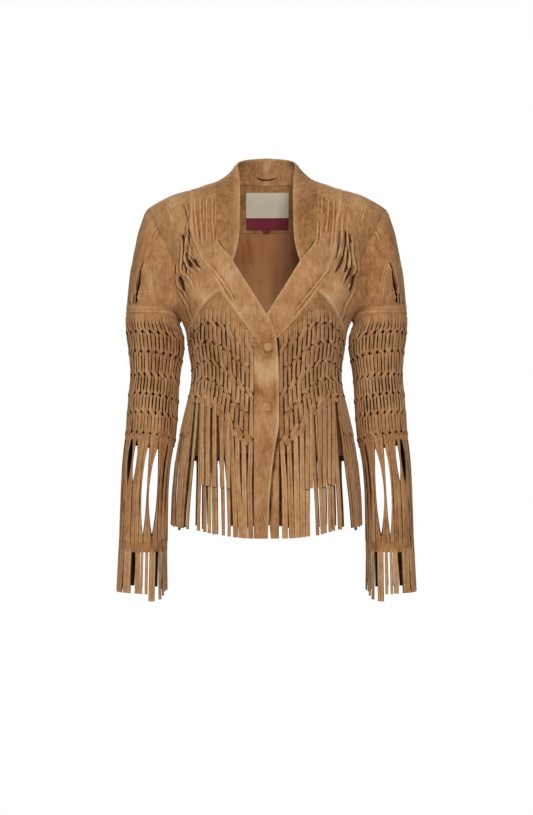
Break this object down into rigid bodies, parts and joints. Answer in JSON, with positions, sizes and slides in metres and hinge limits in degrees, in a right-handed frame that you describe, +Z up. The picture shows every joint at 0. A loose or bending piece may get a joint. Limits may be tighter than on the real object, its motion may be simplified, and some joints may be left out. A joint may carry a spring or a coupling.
{
  "type": "suede jacket",
  "caption": "Woman's short camel suede jacket, hollow as worn: plaited slit panels and sleeves, long fringe at hem and cuffs, shawl collar, covered snap front.",
  "frame": {"origin": "base of the neck: midway between the two shoulder seams' inner ends, level with the tops of the shoulders that hold the jacket up", "axes": "+X to the wearer's left, +Y to the back, +Z up; the front faces -Y"},
  "size_m": [0.4918, 0.2422, 0.7271],
  "materials": {
    "suede_front": "camel suede, napped, matt",
    "suede_yoke": "camel suede, napped, matt",
    "suede_collar": "camel suede, napped, matt",
    "suede_sleeve": "camel suede, napped, matt",
    "suede_fringe": "camel suede, napped, matt, raw cut edges",
    "lining": "brown satin, soft shine",
    "label_cream": "woven label, matt",
    "tab_red": "woven tab, matt"
  },
  "bodies": {
    "root": {"front_left": "suede_front", "front_right": "suede_front", "back_left": "suede_front", "back_right": "suede_front", "button_upper": "suede_front", "button_lower": "suede_front", "front_yoke_left": "suede_yoke", "front_yoke_right": "suede_yoke", "back_yoke": "suede_yoke", "lapel_left": "suede_yoke", "lapel_right": "suede_yoke", "collar": "suede_collar", "back_facing": "suede_collar", "hanger_loop": "suede_collar", "sleeve_cap_front_left": "suede_sleeve", "sleeve_cap_front_right": "suede_sleeve", "sleeve_cap_back_left": "suede_sleeve", "sleeve_cap_back_right": "suede_sleeve", "sleeve_net_front_left": "suede_sleeve", "sleeve_net_front_right": "suede_sleeve", "sleeve_net_back_left": "suede_sleeve", "sleeve_net_back_right": "suede_sleeve", "hem_fringe_left": "suede_fringe", "hem_fringe_right": "suede_fringe", "upper_fringe_left": "suede_fringe", "upper_fringe_right": "suede_fringe", "back_fringe": "suede_fringe", "cuff_fringe_left": "suede_fringe", "cuff_fringe_right": "suede_fringe", "lining_back": "lining", "lining_front_left": "lining", "lining_front_right": "lining", "neck_label": "label_cream", "size_tab": "tab_red"}
  },
  "joints": []
}
